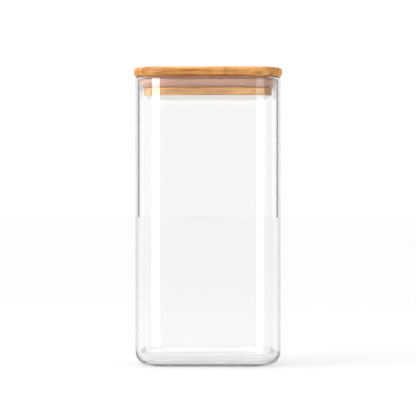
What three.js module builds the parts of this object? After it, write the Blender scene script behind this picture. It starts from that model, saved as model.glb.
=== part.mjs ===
// A square glass storage canister with a bamboo lid that lifts out of its mouth.
// Millimetres, +Z up. The origin is the centre of the flat underside, -Y is the front.
//
// Every outline seen from above is a square with round corners, and all of these squares share
// the centres of their corner arcs, so the pieces sit inside one another with an even gap.
import * as THREE from 'three';

// Glass body: one blown vessel
const glassWidth = 97.4;
const glassHeight = 193.4;
const glassCornerRadius = 22.5;
const wallThickness = 2.5;
const floorThickness = 3.5;
const baseEdgeRadius = 9.4;

// Lid: a board that covers the rim, and a plug under it with a groove for the seal
const lidOverhang = 1.3;
const lidThickness = 6.3;
const lidTopRadius = 2.2;
const lidBottomRadius = 3;
const plugDepth = 12.7;
const plugWallGap = 3.2;
const plugEdgeRadius = 0.8;
const flangeHeight = 5;
const grooveDepth = 2.2;

// Seal: a silicone band in the groove, with a lip that curls up and out to the glass
const bandThickness = 1.4;
const lipThickness = 1.1;
const sealHeadroom = 1.8;

// Clearances between pieces
const seatGap = 0.3;
const bandGap = 0.2;
const sealUnderGap = 0.3;
const lipWallGap = 0.3;

// Smoothness
const cornerSteps = 8;
const arcSteps = 3;

const glassHalf = glassWidth / 2;
const mouthHalf = glassHalf - wallThickness;
const cornerCentre = glassHalf - glassCornerRadius;
const lidHalf = glassHalf + lidOverhang;
const lidUnderside = glassHeight + seatGap;
const plugHalf = mouthHalf - plugWallGap;
const neckHalf = plugHalf - grooveDepth;

const glassMaterial = new THREE.MeshStandardMaterial({
  color: 0xf2f6f5, roughness: 0.03, metalness: 0, transparent: true, opacity: 0.3,
});
const boardMaterial = new THREE.MeshStandardMaterial({ color: 0xe3ae7b, roughness: 0.5, metalness: 0 });
const plugMaterial = new THREE.MeshStandardMaterial({ color: 0xd8a16c, roughness: 0.55, metalness: 0 });
const siliconeMaterial = new THREE.MeshStandardMaterial({
  color: 0xe9dcd0, roughness: 0.4, metalness: 0, transparent: true, opacity: 0.75,
});

// One level outline: the square with round corners whose flat sides lie `reach` from the axis,
// counterclockwise from above.
function squareLoop(reach, z) {
  const loop = [];
  for (let corner = 0; corner < 4; corner += 1) {
    const start = corner * Math.PI / 2;
    const centre = new THREE.Vector2(cornerCentre, cornerCentre).rotateAround(new THREE.Vector2(), start);
    for (let step = 0; step <= cornerSteps; step += 1) {
      const angle = start + step / cornerSteps * Math.PI / 2;
      const radius = reach - cornerCentre;
      const x = centre.x + radius * Math.cos(angle);
      const y = centre.y + radius * Math.sin(angle);
      loop.push(new THREE.Vector3(x, y, z));
    }
  }
  return loop;
}

// Sweeps a section round the square outline, as a lathe does round a circle. The section is drawn
// through the middle of a flat side, with x the distance from the axis and y the height, and it
// runs up the outside. A closed section makes a ring. An open one is closed by a flat face across
// each end.
function squareLathe(section, closed) {
  const points = section.getPoints(arcSteps);
  if (closed) points.pop();
  const loops = points.map((point) => squareLoop(point.x, point.y));
  const loopLength = loops[0].length;
  const vertices = loops.flat();
  const faces = [];
  const lastLoop = loops.length - 1;
  for (let row = 0; row < (closed ? loops.length : lastLoop); row += 1) {
    const below = row * loopLength;
    const above = (row + 1) % loops.length * loopLength;
    for (let here = 0; here < loopLength; here += 1) {
      const next = (here + 1) % loopLength;
      faces.push(below + here, below + next, above + next);
      faces.push(below + here, above + next, above + here);
    }
  }
  if (!closed) {
    const lowerCentre = vertices.length;
    const upperCentre = lowerCentre + 1;
    vertices.push(new THREE.Vector3(0, 0, points[0].y), new THREE.Vector3(0, 0, points[lastLoop].y));
    for (let here = 0; here < loopLength; here += 1) {
      const next = (here + 1) % loopLength;
      faces.push(lowerCentre, next, here);
      faces.push(lastLoop * loopLength + here, lastLoop * loopLength + next, upperCentre);
    }
  }
  const geometry = new THREE.BufferGeometry().setFromPoints(vertices);
  geometry.setIndex(faces);
  geometry.computeVertexNormals();
  return geometry;
}

function namedMesh(name, geometry, material) {
  const mesh = new THREE.Mesh(geometry, material);
  mesh.name = name;
  return mesh;
}

// The glass: flat underside, round lower edge, straight wall, fire-polished rim, then down the
// inside to the floor.
function glassBody() {
  const rimRadius = wallThickness / 2;
  const floorEdgeRadius = Math.max(baseEdgeRadius - wallThickness, wallThickness);
  const rimHeight = glassHeight - rimRadius;
  const floorArcHeight = floorThickness + floorEdgeRadius;
  const quarter = Math.PI / 2;
  const section = new THREE.Path();
  section.moveTo(glassHalf - baseEdgeRadius, 0);
  section.absarc(glassHalf - baseEdgeRadius, baseEdgeRadius, baseEdgeRadius, -quarter, 0, false);
  section.absarc(glassHalf - rimRadius, rimHeight, rimRadius, 0, 2 * quarter, false);
  section.lineTo(mouthHalf, floorArcHeight);
  section.absarc(mouthHalf - floorEdgeRadius, floorArcHeight, floorEdgeRadius, 0, -quarter, true);
  return namedMesh('glass_body', squareLathe(section, false), glassMaterial);
}

// The board that lies on the rim. Its edge is round below and a little squarer above.
function lidBoard() {
  const bottomRadius = Math.min(lidBottomRadius, lidThickness);
  const topRadius = Math.min(lidTopRadius, lidThickness - bottomRadius);
  const quarter = Math.PI / 2;
  const section = new THREE.Path();
  section.moveTo(lidHalf - bottomRadius, 0);
  section.absarc(lidHalf - bottomRadius, bottomRadius, bottomRadius, -quarter, 0, false);
  section.absarc(lidHalf - topRadius, lidThickness - topRadius, topRadius, 0, quarter, false);
  return namedMesh('lid_board', squareLathe(section, false), boardMaterial);
}

// The plug glued under the board: a flange at its foot and a narrower neck, the seal's groove.
function lidPlug() {
  const flangeTop = flangeHeight - plugDepth;
  const arcReach = plugHalf - plugEdgeRadius;
  const section = new THREE.Path();
  section.moveTo(arcReach, -plugDepth);
  section.absarc(arcReach, plugEdgeRadius - plugDepth, plugEdgeRadius, -Math.PI / 2, 0, false);
  section.lineTo(plugHalf, flangeTop);
  section.lineTo(neckHalf, flangeTop);
  section.lineTo(neckHalf, 0);
  return namedMesh('lid_plug', squareLathe(section, false), plugMaterial);
}

// The seal: a flat band round the neck, with a lip that starts at its foot and curls outwards.
function sealRing() {
  const foot = flangeHeight - plugDepth + sealUnderGap;
  const top = -sealHeadroom;
  const bandInside = neckHalf + bandGap;
  const bandOutside = bandInside + bandThickness;
  const lipReach = mouthHalf - lipWallGap - bandOutside;
  const lipRise = top - foot;
  const section = new THREE.Path();
  section.moveTo(bandInside, foot);
  section.lineTo(bandOutside, foot);
  section.absellipse(bandOutside, top, lipReach, lipRise, -Math.PI / 2, 0, false);
  section.lineTo(bandOutside + lipReach - lipThickness, top);
  section.absellipse(
    bandOutside, top, lipReach - lipThickness, lipRise - lipThickness, 0, -Math.PI / 2, true,
  );
  section.lineTo(bandOutside, top);
  section.lineTo(bandInside, top);
  section.closePath();
  return namedMesh('seal_ring', squareLathe(section, true), siliconeMaterial);
}

// The lid's pieces are drawn from the board's underside, which lies on the rim.
const lid = new THREE.Group();
lid.position.z = lidUnderside;
lid.add(lidBoard(), lidPlug(), sealRing());

const group = new THREE.Group();
group.add(glassBody(), lid);

export default group;
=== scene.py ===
"""Looks of a square glass canister with a bamboo lid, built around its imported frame.

Metres, +Z up, -Y is the front. Every piece is a section swept round a square with round corners,
as a lathe sweeps one round a circle, and all of these squares share the centres of their corners.
"""
import math

import bmesh
import bpy
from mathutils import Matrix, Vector


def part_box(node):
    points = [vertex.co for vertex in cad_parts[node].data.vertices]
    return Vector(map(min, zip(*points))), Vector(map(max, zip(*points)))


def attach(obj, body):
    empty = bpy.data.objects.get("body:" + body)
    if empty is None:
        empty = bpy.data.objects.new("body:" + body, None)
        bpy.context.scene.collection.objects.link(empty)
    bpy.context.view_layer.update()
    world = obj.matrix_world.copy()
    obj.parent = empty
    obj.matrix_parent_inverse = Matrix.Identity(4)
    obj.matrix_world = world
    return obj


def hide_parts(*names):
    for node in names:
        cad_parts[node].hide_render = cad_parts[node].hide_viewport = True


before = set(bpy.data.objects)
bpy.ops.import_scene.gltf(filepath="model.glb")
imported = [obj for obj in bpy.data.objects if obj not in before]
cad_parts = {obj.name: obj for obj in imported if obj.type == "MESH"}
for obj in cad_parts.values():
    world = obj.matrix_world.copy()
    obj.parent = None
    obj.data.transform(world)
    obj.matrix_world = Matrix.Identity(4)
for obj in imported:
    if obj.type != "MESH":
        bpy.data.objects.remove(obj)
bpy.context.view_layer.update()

MM = 0.001
QUARTER = math.pi / 2  # a quarter turn, in radians

# Sizes from the frame
glass_low, glass_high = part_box("glass_body")
board_low, board_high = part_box("lid_board")
plug_low, plug_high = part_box("lid_plug")
seal_low, seal_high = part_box("seal_ring")
GLASS_HALF = glass_high.x
BOARD_HALF = board_high.x
PLUG_HALF = plug_high.x
SEAL_HALF = seal_high.x

# Sizes that the frame's boxes don't show
CORNER_RADIUS = 22.5 * MM
CORNER_CENTRE = GLASS_HALF - CORNER_RADIUS
WALL = 2.5 * MM
FLOOR = 3.5 * MM
BASE_EDGE = 9.4 * MM
BOARD_TOP_EDGE = 2.2 * MM
BOARD_BOTTOM_EDGE = 3 * MM
PLUG_EDGE = 0.8 * MM
FLANGE_HEIGHT = 5 * MM
GROOVE_DEPTH = 2.2 * MM
GROOVE_EDGE = 0.35 * MM
BAND_GAP = 0.2 * MM
BAND_THICKNESS = 1.4 * MM
LIP_THICKNESS = 1.1 * MM
SEAL_EDGE = 0.25 * MM

# How fine the meshes are
ARC_STEP = math.radians(7.5)
FEWEST_ARC_STEPS = 3
CORNER_STEPS = 20
EASE = 0.15 * MM
LONG_RUN = 4 * EASE


# ---- Meshes -------------------------------------------------------------------------------

def arc(x, z, across, along, start, end):
    """Points on an arc of the section about (x, z), whose radii are across and along. It runs from
    one angle to another, both in turns of 90 degrees, where 0 points away from the axis and 1 up."""
    steps = max(FEWEST_ARC_STEPS, math.ceil(abs(end - start) * QUARTER / ARC_STEP))
    angles = [(start + (end - start) * step / steps) * QUARTER for step in range(steps + 1)]
    return [(x + across * math.cos(angle), z + along * math.sin(angle)) for angle in angles]


def round_edge(x, z, radius, start, end):
    return arc(x, z, radius, radius, start, end)


def eased(section, closed):
    """The section with a point just inside each end of its long straight runs, so that smooth
    shading stays true on the flats."""
    points = []
    count = len(section)
    for index, point in enumerate(section):
        points.append(point)
        if index == count - 1 and not closed:
            break
        here = Vector(point)
        there = Vector(section[(index + 1) % count])
        length = (there - here).length
        if length > LONG_RUN:
            points.append(tuple(here.lerp(there, EASE / length)))
            points.append(tuple(there.lerp(here, EASE / length)))
    return points


def spokes():
    """Where each point of a square outline stands: a foot on the inner square, and the direction
    it moves in as the outline grows. Counterclockwise from above."""
    spread = []
    for corner in range(4):
        start = corner * QUARTER
        turn = [start + step / CORNER_STEPS * QUARTER for step in range(CORNER_STEPS + 1)]
        feet = [(CORNER_CENTRE, CORNER_CENTRE - EASE)]
        feet += [(CORNER_CENTRE, CORNER_CENTRE)] * len(turn)
        feet += [(CORNER_CENTRE - EASE, CORNER_CENTRE)]
        cos, sin = math.cos(start), math.sin(start)
        for (x, y), angle in zip(feet, [turn[0], *turn, turn[-1]]):
            foot = Vector((x * cos - y * sin, x * sin + y * cos))
            spread.append((foot, Vector((math.cos(angle), math.sin(angle)))))
    return spread


def square_lathe(name, section, closed):
    """Sweeps a section of (distance from the axis, height) points round the square. A closed one
    makes a ring, and an open one ends in a flat face at each end."""
    bm = bmesh.new()
    outline = spokes()
    loops = []
    for reach, height in eased(section, closed):
        radius = reach - CORNER_CENTRE
        places = [foot + direction * radius for foot, direction in outline]
        loops.append([bm.verts.new((place.x, place.y, height)) for place in places])
    count = len(outline)
    for row in range(len(loops) if closed else len(loops) - 1):
        below, above = loops[row], loops[(row + 1) % len(loops)]
        for here in range(count):
            there = (here + 1) % count
            bm.faces.new((below[here], below[there], above[there], above[here]))
    if not closed:
        bm.faces.new(reversed(loops[0]))
        bm.faces.new(loops[-1])
    for face in bm.faces:
        face.smooth = True
    mesh = bpy.data.meshes.new(name)
    bm.to_mesh(mesh)
    bm.free()
    piece = bpy.data.objects.new(name, mesh)
    bpy.context.scene.collection.objects.link(piece)
    return piece


# ---- Nodes --------------------------------------------------------------------------------

class Nodes:
    """Adds nodes to a node tree. Every input is given as a value or as another node's socket."""

    def __init__(self, tree):
        self.tree = tree

    def feed(self, socket, value):
        if isinstance(value, bpy.types.NodeSocket):
            self.tree.links.new(value, socket)
        else:
            socket.default_value = value

    def add(self, kind, inputs, **settings):
        """A node of that kind, its inputs named or numbered."""
        node = self.tree.nodes.new(kind)
        for key, value in settings.items():
            setattr(node, key, value)
        for key, value in inputs.items():
            self.feed(node.inputs[key], value)
        return node

    def math(self, operation, *values):
        return self.add("ShaderNodeMath", dict(enumerate(values)), operation=operation).outputs[0]

    def plus(self, first, second):
        return self.math("ADD", first, second)

    def minus(self, first, second):
        return self.math("SUBTRACT", first, second)

    def times(self, first, second):
        return self.math("MULTIPLY", first, second)

    def ranged(self, value, low, high, to_low=0.0, to_high=1.0):
        """Runs smoothly from to_low to to_high as the value goes from low to high."""
        inputs = {"Value": value, "From Min": low, "From Max": high, "To Min": to_low, "To Max": to_high}
        node = self.add("ShaderNodeMapRange", inputs, interpolation_type="SMOOTHSTEP")
        return node.outputs["Result"]

    def split(self, vector):
        return self.add("ShaderNodeSeparateXYZ", {0: vector}).outputs


class Shader(Nodes):
    """A new material and the nodes that feed its Principled shader."""

    def __init__(self, name):
        self.material = bpy.data.materials.new(name)
        self.material.use_nodes = True
        super().__init__(self.material.node_tree)
        self.surface = self.tree.nodes["Principled BSDF"]
        self.output = self.tree.nodes["Material Output"]

    def set(self, **values):
        """Sets the Principled shader's inputs, whose names are given with _ for each space."""
        for key, value in values.items():
            self.feed(self.surface.inputs[key.replace("_", " ")], value)

    def place(self):
        """The point on the piece, in metres in the row's frame."""
        return self.add("ShaderNodeTexCoord", {}).outputs["Object"]

    def stretched(self, vector, scale, offset=(0, 0, 0)):
        scaled = self.add("ShaderNodeVectorMath", {0: vector, 1: scale}, operation="MULTIPLY")
        moved = self.add("ShaderNodeVectorMath", {0: scaled.outputs[0], 1: offset}, operation="ADD")
        return moved.outputs[0]

    def noise(self, vector, detail=2.0, roughness=0.5):
        inputs = {"Vector": vector, "Scale": 1.0, "Detail": detail, "Roughness": roughness}
        return self.add("ShaderNodeTexNoise", inputs).outputs["Fac"]

    def swing(self, value, size):
        """Turns a value from 0 to 1 into one that swings about 0, size from end to end."""
        return self.times(self.minus(value, 0.5), size)

    def mixed(self, factor, first, second):
        node = self.add("ShaderNodeMix", {0: factor, 6: first, 7: second}, data_type="RGBA")
        return node.outputs[2]

    def ramp(self, value, stops):
        node = self.add("ShaderNodeValToRGB", {"Fac": value})
        elements = node.color_ramp.elements
        while len(elements) < len(stops):
            elements.new(0.5)
        for element, (position, colour) in zip(elements, stops):
            element.position = position
            element.color = (*colour, 1)
        return node.outputs["Color"]

    def bump(self, height, distance):
        return self.add("ShaderNodeBump", {"Height": height, "Distance": distance}).outputs["Normal"]


# ---- Materials ----------------------------------------------------------------------------

# Noise is stretched by its number of waves in a metre along x, y and z, and mostly stays between
# these two values
NOISE_LOW = 0.3
NOISE_HIGH = 0.7

# Bamboo: strips run left to right, glued side by side and in plies
STRIP_WIDTH = 20 * MM
PLY_HEIGHT = 6.3 * MM
STRIP_SHIFT = (40, 40, 40)
FINE_FIBRES = (45, 1500, 1500)
BROAD_FIBRES = (14, 260, 260)
PATCHES = (55, 30, 60)
VESSELS = (30, 2300, 2300)
VESSEL_EDGE = 0.60
VESSEL_CORE = 0.72
VESSEL_COLOUR = (0.26, 0.090, 0.015, 1)
VESSEL_STRENGTH = 0.4
PALE_COLOUR = (0.95, 0.80, 0.62, 1)
TONES = (
    (0.25, (0.40, 0.125, 0.012)),
    (0.45, (0.66, 0.270, 0.045)),
    (0.58, (0.80, 0.395, 0.100)),
    (0.75, (0.90, 0.560, 0.240)),
)

# How far each of them moves the colour along the tones
FINE_SWING = 0.9
BROAD_SWING = 0.9
PATCH_SWING = 0.5
STRIP_SWING = 0.18

# Knuckles: one to a strip, but spread so far along x that only some strips show theirs
KNUCKLE_SPREAD = 0.26
KNUCKLE_WAVES = (0, 220, 220)
KNUCKLE_WOBBLE = 4 * MM
KNUCKLE_CORE = 0.4 * MM
KNUCKLE_EDGE = 2.2 * MM
KNUCKLE_COLOUR = (0.30, 0.13, 0.045, 1)
KNUCKLE_STRENGTH = 0.35

# Glue lines between the strips, measured from where two strips meet
JOINT_CORE = 0.02 * MM
JOINT_EDGE = 0.16 * MM
JOINT_COLOUR = (0.28, 0.13, 0.05, 1)
JOINT_STRENGTH = 0.4

# The wood's relief, whose parts are shares of its full height
WOOD_RELIEF = 0.06 * MM
FIBRE_HEIGHT = 0.6
VESSEL_DEPTH = 0.5
JOINT_DEPTH = 0.6
FIBRE_ROUGHNESS = 0.08
PATCH_ROUGHNESS = (0.42, 0.5)


def bamboo(name, seed, tone, paleness, lacquer, lacquer_roughness):
    """Laminated bamboo: strips of slightly different tone with long fibres, dark bundles of
    vessels that show as dots on the end grain, knuckles across some strips, and thin glue lines."""
    s = Shader(name)
    place = s.place()
    x, y, z = s.split(place)
    across = s.math("DIVIDE", s.plus(y, STRIP_WIDTH / 2 + seed * MM), STRIP_WIDTH)
    down = s.math("DIVIDE", s.minus(z, board_high.z), PLY_HEIGHT)
    strip = s.add("ShaderNodeCombineXYZ", {
        0: s.math("FLOOR", across), 1: s.math("FLOOR", down), 2: float(seed),
    })
    draw = s.add("ShaderNodeTexWhiteNoise", {"Vector": strip.outputs[0]}, noise_dimensions="3D")
    drawn = draw.outputs["Color"]
    strip_tone, strip_knuckle, _ = s.add("ShaderNodeSeparateColor", {0: drawn}).outputs
    shift = s.add("ShaderNodeVectorMath", {0: drawn, 1: STRIP_SHIFT}, operation="MULTIPLY").outputs[0]

    fine = s.noise(s.stretched(place, FINE_FIBRES, shift), detail=3.0, roughness=0.6)
    broad = s.noise(s.stretched(place, BROAD_FIBRES, shift))
    patches = s.noise(s.stretched(place, PATCHES, shift))
    flecks = s.noise(s.stretched(place, VESSELS, shift), detail=1.0)
    flecks = s.ranged(flecks, VESSEL_EDGE, VESSEL_CORE)

    value = s.plus(s.swing(fine, FINE_SWING), s.swing(broad, BROAD_SWING))
    value = s.plus(value, s.swing(patches, PATCH_SWING))
    value = s.plus(value, s.swing(strip_tone, STRIP_SWING))
    # tone scales every colour evenly and paleness (below) whitens them evenly; the plug's higher values are
    # painted light
    tones = [(position, [part * tone for part in colour]) for position, colour in TONES]
    colour = s.ramp(s.plus(value, 0.5), tones)
    colour = s.mixed(s.times(flecks, VESSEL_STRENGTH), colour, VESSEL_COLOUR)
    colour = s.mixed(paleness, colour, PALE_COLOUR)

    wobble = s.swing(s.noise(s.stretched(place, KNUCKLE_WAVES)), KNUCKLE_WOBBLE)
    beside_knuckle = s.minus(x, s.swing(strip_knuckle, KNUCKLE_SPREAD))
    from_knuckle = s.math("ABSOLUTE", s.plus(beside_knuckle, wobble))
    knuckle = s.ranged(from_knuckle, KNUCKLE_CORE, KNUCKLE_EDGE, 1.0, 0.0)
    colour = s.mixed(s.times(knuckle, KNUCKLE_STRENGTH), colour, KNUCKLE_COLOUR)

    from_middle = s.math("ABSOLUTE", s.minus(s.math("FRACT", across), 0.5))
    joint = s.ranged(from_middle, 0.5 - JOINT_EDGE / STRIP_WIDTH, 0.5 - JOINT_CORE / STRIP_WIDTH)
    colour = s.mixed(s.times(joint, JOINT_STRENGTH), colour, JOINT_COLOUR)

    roughness = s.plus(
        s.ranged(fine, NOISE_LOW, NOISE_HIGH, FIBRE_ROUGHNESS, 0.0),
        s.ranged(patches, NOISE_LOW, NOISE_HIGH, *PATCH_ROUGHNESS),
    )
    height = s.minus(s.times(fine, FIBRE_HEIGHT), s.times(flecks, VESSEL_DEPTH))
    height = s.minus(height, s.times(joint, JOINT_DEPTH))
    s.set(Base_Color=colour, Roughness=roughness, Normal=s.bump(height, WOOD_RELIEF))
    s.set(IOR=1.45, Specular_IOR_Level=0.3, Coat_Weight=lacquer, Coat_Roughness=lacquer_roughness)
    return s.material


GLASS_WAVES = (22, 22, 9)
GLASS_RIPPLES = (70, 70, 28)
RIPPLE_SHARE = 0.15
GLASS_RELIEF = 0.04 * MM
HAZE_CLOUDS = (60, 60, 60)
HAZE_STARTS = 0.45
HAZE_FULL = 0.8
HAZE_ROUGHNESS = 0.012
GLASS_TINT = (0.79, 0.795, 0.80, 1)
TINT_PER_METRE = 45.0


def clear_glass(name):
    """Blown glass: faint slow waves in its surface, a trace of haze, and a tint that shows only
    where it is looked through lengthways."""
    s = Shader(name)
    place = s.place()
    waves = s.noise(s.stretched(place, GLASS_WAVES), detail=1.0)
    ripples = s.noise(s.stretched(place, GLASS_RIPPLES), detail=1.0)
    clouds = s.noise(s.stretched(place, HAZE_CLOUDS), detail=3.0)
    haze = s.ranged(clouds, HAZE_STARTS, HAZE_FULL, 0.0, HAZE_ROUGHNESS)
    height = s.plus(waves, s.times(ripples, RIPPLE_SHARE))
    s.set(Base_Color=(1, 1, 1, 1), Transmission_Weight=1.0, IOR=1.47)
    s.set(Roughness=haze, Normal=s.bump(height, GLASS_RELIEF))
    tint = s.add("ShaderNodeVolumeAbsorption", {"Color": GLASS_TINT, "Density": TINT_PER_METRE})
    s.feed(s.output.inputs["Volume"], tint.outputs[0])
    return s.material


SILICONE_CLOUDS = (120, 120, 400)
SILICONE_COLOURS = ((0.95, 0.60, 0.46, 1), (0.98, 0.68, 0.54, 1))
SILICONE_GRAIN = (2600, 2600, 2600)
SILICONE_ROUGHNESS = (0.4, 0.5)
SILICONE_RELIEF = 0.02 * MM


def silicone(name):
    """Milky, faintly pink silicone, thin enough for the wood behind it to show through."""
    s = Shader(name)
    place = s.place()
    clouds = s.noise(s.stretched(place, SILICONE_CLOUDS))
    grain = s.noise(s.stretched(place, SILICONE_GRAIN), detail=1.0)
    colour = s.mixed(clouds, *SILICONE_COLOURS)
    roughness = s.ranged(grain, NOISE_LOW, NOISE_HIGH, *SILICONE_ROUGHNESS)
    s.set(Base_Color=colour, Roughness=roughness, Normal=s.bump(grain, SILICONE_RELIEF))
    s.set(IOR=1.41, Alpha=0.45)
    return s.material


# ---- The canister -------------------------------------------------------------------------

# Where the flat middle of a section gives way to its edge, just outside the corners' centres
MIDDLE = CORNER_CENTRE + EASE


def glass():
    """One vessel: base, outer wall, rounded rim, inner wall and floor."""
    rim = WALL / 2
    mouth = GLASS_HALF - WALL
    floor_edge = BASE_EDGE - WALL
    floor_top = glass_low.z + FLOOR
    section = [(MIDDLE, glass_low.z)]
    section += round_edge(GLASS_HALF - BASE_EDGE, glass_low.z + BASE_EDGE, BASE_EDGE, -1, 0)
    section += round_edge(GLASS_HALF - rim, glass_high.z - rim, rim, 0, 2)
    section += round_edge(mouth - floor_edge, floor_top + floor_edge, floor_edge, 0, -1)
    section += [(MIDDLE, floor_top)]
    return square_lathe("glass_vessel", section, False)


def board():
    under = BOARD_BOTTOM_EDGE
    over = BOARD_TOP_EDGE
    section = [(MIDDLE, board_low.z)]
    section += round_edge(BOARD_HALF - under, board_low.z + under, under, -1, 0)
    section += round_edge(BOARD_HALF - over, board_high.z - over, over, 0, 1)
    section += [(MIDDLE, board_high.z)]
    return square_lathe("bamboo_board", section, False)


def plug():
    """A flange below, and a neck above it that makes the seal's groove under the board."""
    flange_top = plug_low.z + FLANGE_HEIGHT
    neck = PLUG_HALF - GROOVE_DEPTH
    edge = GROOVE_EDGE
    section = [(MIDDLE, plug_low.z)]
    section += round_edge(PLUG_HALF - PLUG_EDGE, plug_low.z + PLUG_EDGE, PLUG_EDGE, -1, 0)
    section += round_edge(PLUG_HALF - edge, flange_top - edge, edge, 0, 1)
    section += round_edge(neck + edge, flange_top + edge, edge, 3, 2)
    section += [(neck, plug_high.z), (MIDDLE, plug_high.z)]
    return square_lathe("bamboo_plug", section, False)


def seal():
    """A band in the groove, and a lip that leaves its foot and curls out and up to the glass."""
    inside = PLUG_HALF - GROOVE_DEPTH + BAND_GAP
    root = inside + BAND_THICKNESS
    top = seal_high.z
    foot = seal_low.z
    edge = SEAL_EDGE
    tip = LIP_THICKNESS / 2
    tip_height = top - tip
    reach = SEAL_HALF - root
    rise = tip_height - foot
    section = round_edge(inside + edge, foot + edge, edge, 2, 3)
    section += arc(root, tip_height, reach, rise, -1, 0)
    section += round_edge(SEAL_HALF - tip, tip_height, tip, 0, 2)
    section += arc(root + edge, tip_height, reach - LIP_THICKNESS - edge, rise - LIP_THICKNESS, 0, -1)
    section += round_edge(root - edge, top - edge, edge, 0, 1)
    section += round_edge(inside + edge, top - edge, edge, 1, 2)
    return square_lathe("seal_lip_ring", section, True)


def add_piece(piece, material, body, node):
    piece.data.materials.append(material)
    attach(piece, body)
    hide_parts(node)


board_wood = bamboo("lacquered_board", seed=3, tone=1.03, paleness=0.02, lacquer=0.4, lacquer_roughness=0.3)
# The plug's bamboo is a brighter, paler copy of the board's: painted light that makes up for the light the
# glass wall and the board above keep from it
plug_wood = bamboo("lacquered_plug", seed=8, tone=1.05, paleness=0.2, lacquer=1.0, lacquer_roughness=0.06)
add_piece(glass(), clear_glass("clear_glass"), "canister", "glass_body")
add_piece(board(), board_wood, "lid", "lid_board")
add_piece(plug(), plug_wood, "lid", "lid_plug")
add_piece(seal(), silicone("milky_silicone"), "lid", "seal_ring")


# ---- Floor, light and camera --------------------------------------------------------------

STAGE_RADIUS = 30.0
STAGE_DROP = 0.2 * MM
STAGE_GREY = (0.34, 0.34, 0.34, 1)
STAGE_GLOW = 0.55


def pale_floor():
    """A round floor that glows a little, so that it stays pale where it is seen through glass, which
    lets little light be traced to it. The canister's reflections don't show it."""
    bm = bmesh.new()
    bmesh.ops.create_circle(bm, cap_ends=True, segments=96, radius=STAGE_RADIUS)
    mesh = bpy.data.meshes.new("floor")
    bm.to_mesh(mesh)
    bm.free()
    floor = bpy.data.objects.new("floor", mesh)
    floor.location.z = glass_low.z - STAGE_DROP
    bpy.context.scene.collection.objects.link(floor)
    s = Shader("pale_floor")
    s.set(Base_Color=STAGE_GREY, Roughness=0.6, Specular_IOR_Level=0.0)
    s.set(Emission_Color=(1, 1, 1, 1), Emission_Strength=STAGE_GLOW)
    floor.data.materials.append(s.material)
    floor.visible_glossy = False


# The tent's strength, where 1 is white in the picture, and what is added to or taken off it
TENT_WHITE = 1.09
OVERHEAD_EXTRA = 0.45
CORNER_DIMMING = 0.7
FRONT_DIMMING = 0.7
RIGHT_DIMMING = 0.85
THROUGH_GLASS_EXTRA = 15.5
MATTE_EXTRA = 0.4

# Where on the tent each of them starts and is full, by parts of the direction, which is 1 long
OVERHEAD = (0.2, 0.9)
LOW_DOWN = (0.75, 0.55)
CORNERS = (0.82, 0.96)
FRONT = (0.0, -0.5)
RIGHT = (0.5, 1.1)
ABOVE_HORIZON = (0.08, 0.3)


def light_tent():
    """A white tent, brighter overhead, with a dimmer gap at each of its four corners that draws the
    lines along the glass edges. Its strength also depends on the kind of ray. Reflections see a
    dimmer front. Rays that have passed through glass see a far brighter front, which lights the lid
    behind the glass, and matte surfaces see a slightly brighter one. To reflections and to matte
    surfaces the right is darker. A ray that glass has just bent counts as a reflection too."""
    world = bpy.data.worlds.new("light_tent")
    bpy.context.scene.world = world
    world.use_nodes = True
    n = Nodes(world.node_tree)
    rays = n.add("ShaderNodeLightPath", {}).outputs
    reflected = rays["Is Glossy Ray"]
    matte = rays["Is Diffuse Ray"]
    x, y, z = n.split(n.add("ShaderNodeTexCoord", {}).outputs["Generated"])

    overhead = n.ranged(z, *OVERHEAD)
    bright = n.plus(TENT_WHITE, n.times(overhead, OVERHEAD_EXTRA))

    level = n.plus(n.times(x, x), n.times(y, y))
    diagonal = n.math("DIVIDE", n.math("ABSOLUTE", n.times(n.times(x, y), 2.0)), level)
    low_down = n.ranged(n.math("ABSOLUTE", z), *LOW_DOWN)
    gap = n.times(n.ranged(diagonal, *CORNERS), low_down)

    front = n.ranged(y, *FRONT)
    raised = n.times(front, n.ranged(z, *ABOVE_HORIZON))
    through_glass = n.times(n.times(rays["Is Transmission Ray"], raised), THROUGH_GLASS_EXTRA)
    fill = n.plus(n.plus(through_glass, 1.0), n.times(n.times(matte, front), MATTE_EXTRA))

    right = n.ranged(n.minus(x, y), *RIGHT)
    on_right = n.times(n.plus(reflected, matte), right)

    strength = n.times(bright, fill)
    strength = n.times(strength, n.minus(1.0, n.times(gap, CORNER_DIMMING)))
    strength = n.times(strength, n.minus(1.0, n.times(n.times(reflected, front), FRONT_DIMMING)))
    strength = n.times(strength, n.minus(1.0, n.times(on_right, RIGHT_DIMMING)))
    background = n.tree.nodes["Background"]
    n.feed(background.inputs["Strength"], strength)
    n.feed(background.inputs["Color"], (1, 1, 1, 1))


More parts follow.
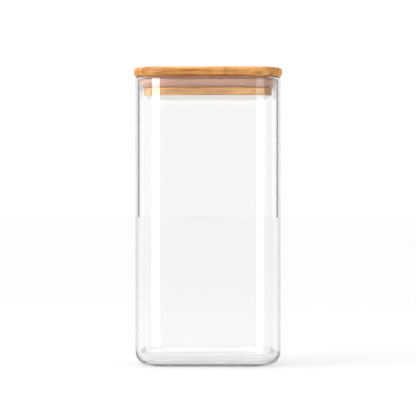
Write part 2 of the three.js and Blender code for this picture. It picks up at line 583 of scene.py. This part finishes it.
def softbox(name, azimuth, elevation, distance, size, radiance, only_shine=False):
    """A rectangular lamp that faces the canister. Azimuth 0 is behind the camera, and positive is to
    its right. radiance is how bright it looks beside a white of 1. With only_shine it shows as a
    highlight, but lights nothing matte and isn't seen through the glass."""
    lamp = bpy.data.lights.new(name, "AREA")
    lamp.shape = "RECTANGLE"
    width, height = size
    lamp.size = width
    lamp.size_y = height
    lamp.energy = radiance * math.pi * width * height
    holder = bpy.data.objects.new(name, lamp)
    turn = math.radians(azimuth)
    rise = math.radians(elevation)
    away = Vector((math.sin(turn) * math.cos(rise), -math.cos(turn) * math.cos(rise), math.sin(rise)))
    holder.location = Vector((0, 0, EYE_HEIGHT)) + away * distance
    holder.rotation_euler = away.to_track_quat("Z", "Y").to_euler()
    holder.visible_camera = False
    holder.visible_diffuse = not only_shine
    holder.visible_transmission = not only_shine
    bpy.context.scene.collection.objects.link(holder)


# Camera: level, at the height where the canister shows neither its top nor its underside
EYE_HEIGHT = 105.9 * MM
CAMERA_DISTANCE = 1.8
VIEW_WIDTH = 275.8 * MM
SENSOR = 36  # Blender takes this width and the lens in millimetres


def camera():
    """Stands CAMERA_DISTANCE before the front of the glass, where its picture is VIEW_WIDTH wide."""
    lens = bpy.data.cameras.new("camera")
    lens.sensor_width = SENSOR
    lens.lens = SENSOR * CAMERA_DISTANCE / VIEW_WIDTH
    holder = bpy.data.objects.new("camera", lens)
    holder.location = (0, -GLASS_HALF - CAMERA_DISTANCE, EYE_HEIGHT)
    holder.rotation_euler = (QUARTER, 0, 0)
    bpy.context.scene.collection.objects.link(holder)
    bpy.context.scene.camera = holder


# Light runs along the glass floor by bouncing inside it, so it needs more bounces than usual
LIGHT_BOUNCES = 32
STRIP_SIZE = (0.6, 0.3)

bpy.context.scene.view_settings.view_transform = "Standard"
cycles = bpy.context.scene.cycles
cycles.max_bounces = LIGHT_BOUNCES
cycles.glossy_bounces = LIGHT_BOUNCES
cycles.transmission_bounces = LIGHT_BOUNCES
pale_floor()
light_tent()
softbox("left_strip", azimuth=-45, elevation=0, distance=1.2, size=STRIP_SIZE, radiance=15, only_shine=True)
softbox("right_strip", azimuth=45, elevation=0, distance=1.2, size=STRIP_SIZE, radiance=4, only_shine=True)
softbox("overhead", azimuth=0, elevation=72, distance=1.2, size=(1.6, 1.2), radiance=3, only_shine=True)
softbox("key", azimuth=-55, elevation=40, distance=1.3, size=(0.7, 0.7), radiance=3.5)
camera()
